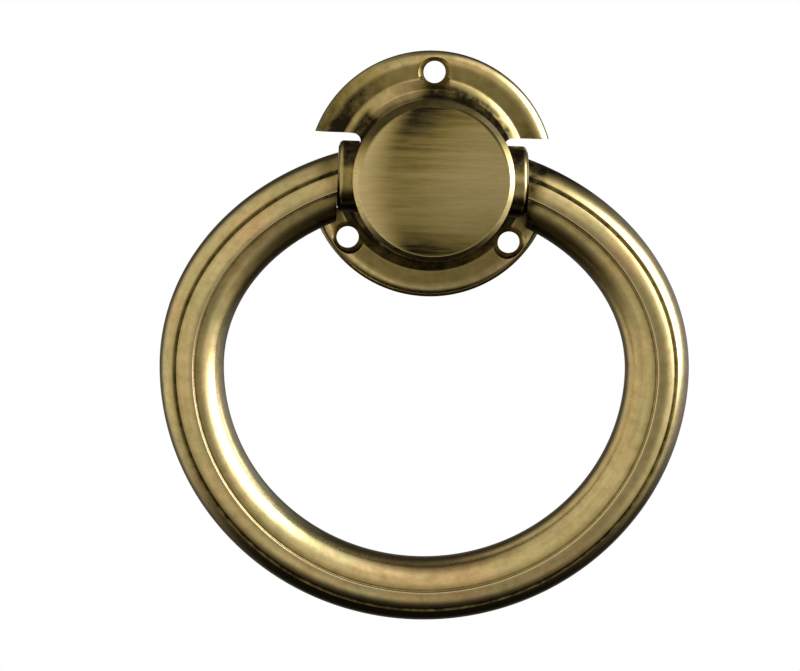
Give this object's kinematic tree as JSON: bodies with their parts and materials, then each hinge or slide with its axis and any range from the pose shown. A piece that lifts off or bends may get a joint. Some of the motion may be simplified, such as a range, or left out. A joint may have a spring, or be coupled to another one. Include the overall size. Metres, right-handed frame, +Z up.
{
  "type": "door knocker",
  "caption": "Round ring door knocker in antique brass: a reeded ring swings from collars on a drum-shaped hub with a brushed domed cap, on a notched round backplate.",
  "frame": {"origin": "centre of the backplate's back face, which lies on the door", "axes": "+Z up, -Y out of the door towards the person knocking, +X to that person's right"},
  "size_m": [0.12, 0.0206, 0.1296],
  "materials": {
    "antique_brass": "burnished antique brass, dark patina in the grooves and corners",
    "brushed_brass": "straight-brushed antique brass, lacquered",
    "bush_brass": "dull turned brass",
    "screw_steel": "zinc plated steel"
  },
  "bodies": {
    "mount": {"backplate": "antique_brass", "hub_housing": "antique_brass", "front_cap": "brushed_brass", "upper_hub_screw": "screw_steel", "lower_hub_screw": "screw_steel", "left_cap_screw": "screw_steel", "right_cap_screw": "screw_steel", "left_bush": "bush_brass", "left_washer": "screw_steel", "right_bush": "bush_brass", "right_washer": "screw_steel"},
    "ring": {"ring": "antique_brass", "left_pivot_screw": "screw_steel", "left_set_screw": "screw_steel", "right_pivot_screw": "screw_steel", "right_set_screw": "screw_steel"}
  },
  "joints": [
    {"name": "ring_swing", "type": "hinge", "parent": "mount", "child": "ring", "pos_m": [0, -0.0092, -0.0004], "axis": [-1, 0, 0], "range_deg": [-1, 181]}
  ]
}
